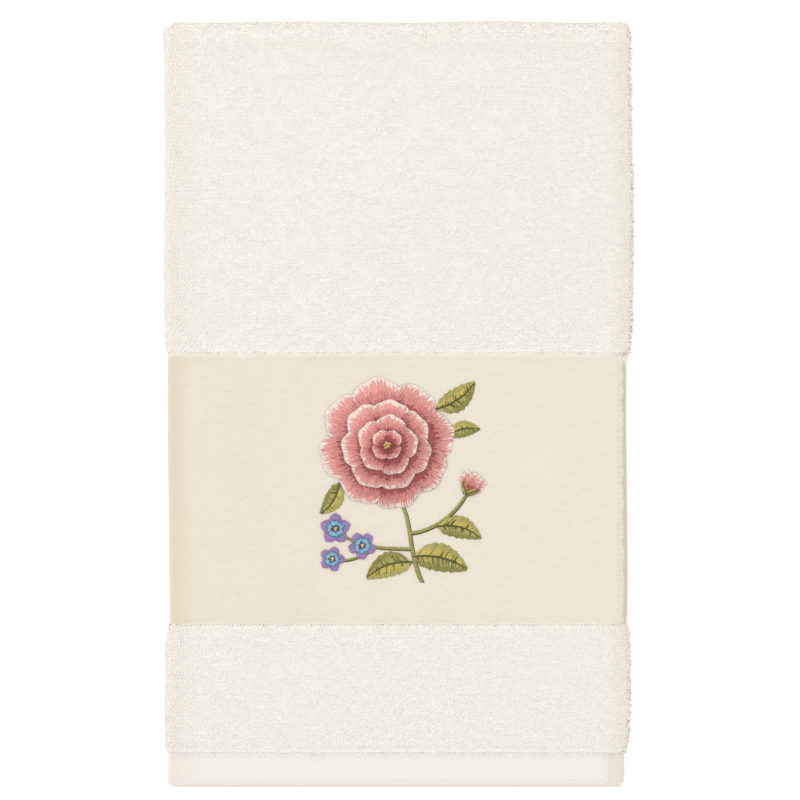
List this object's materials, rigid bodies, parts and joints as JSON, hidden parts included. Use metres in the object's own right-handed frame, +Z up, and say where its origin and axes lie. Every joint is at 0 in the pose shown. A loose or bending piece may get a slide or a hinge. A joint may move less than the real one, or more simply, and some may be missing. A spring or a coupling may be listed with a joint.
{
  "type": "folded hand towel",
  "caption": "Ivory cotton pile hand towel folded to a quarter, lying flat, with a smooth embroidered band between its looped ends and a flat woven hem.",
  "frame": {"origin": "middle of the folded towel's outline, on the surface under it", "axes": "+X across the folded towel to its hemmed side edges, +Y along it to the top fold, +Z up from the surface, with the band on top"},
  "size_m": [0.2101, 0.3412, 0.0173],
  "materials": {
    "pile_cotton": "matte looped cotton pile",
    "band_velour": "soft sheared cotton pile",
    "sewing_thread": "fine matte thread",
    "embroidery_thread": "lustrous stranded thread"
  },
  "bodies": {
    "root": {"towel": "pile_cotton"}
  },
  "joints": []
}
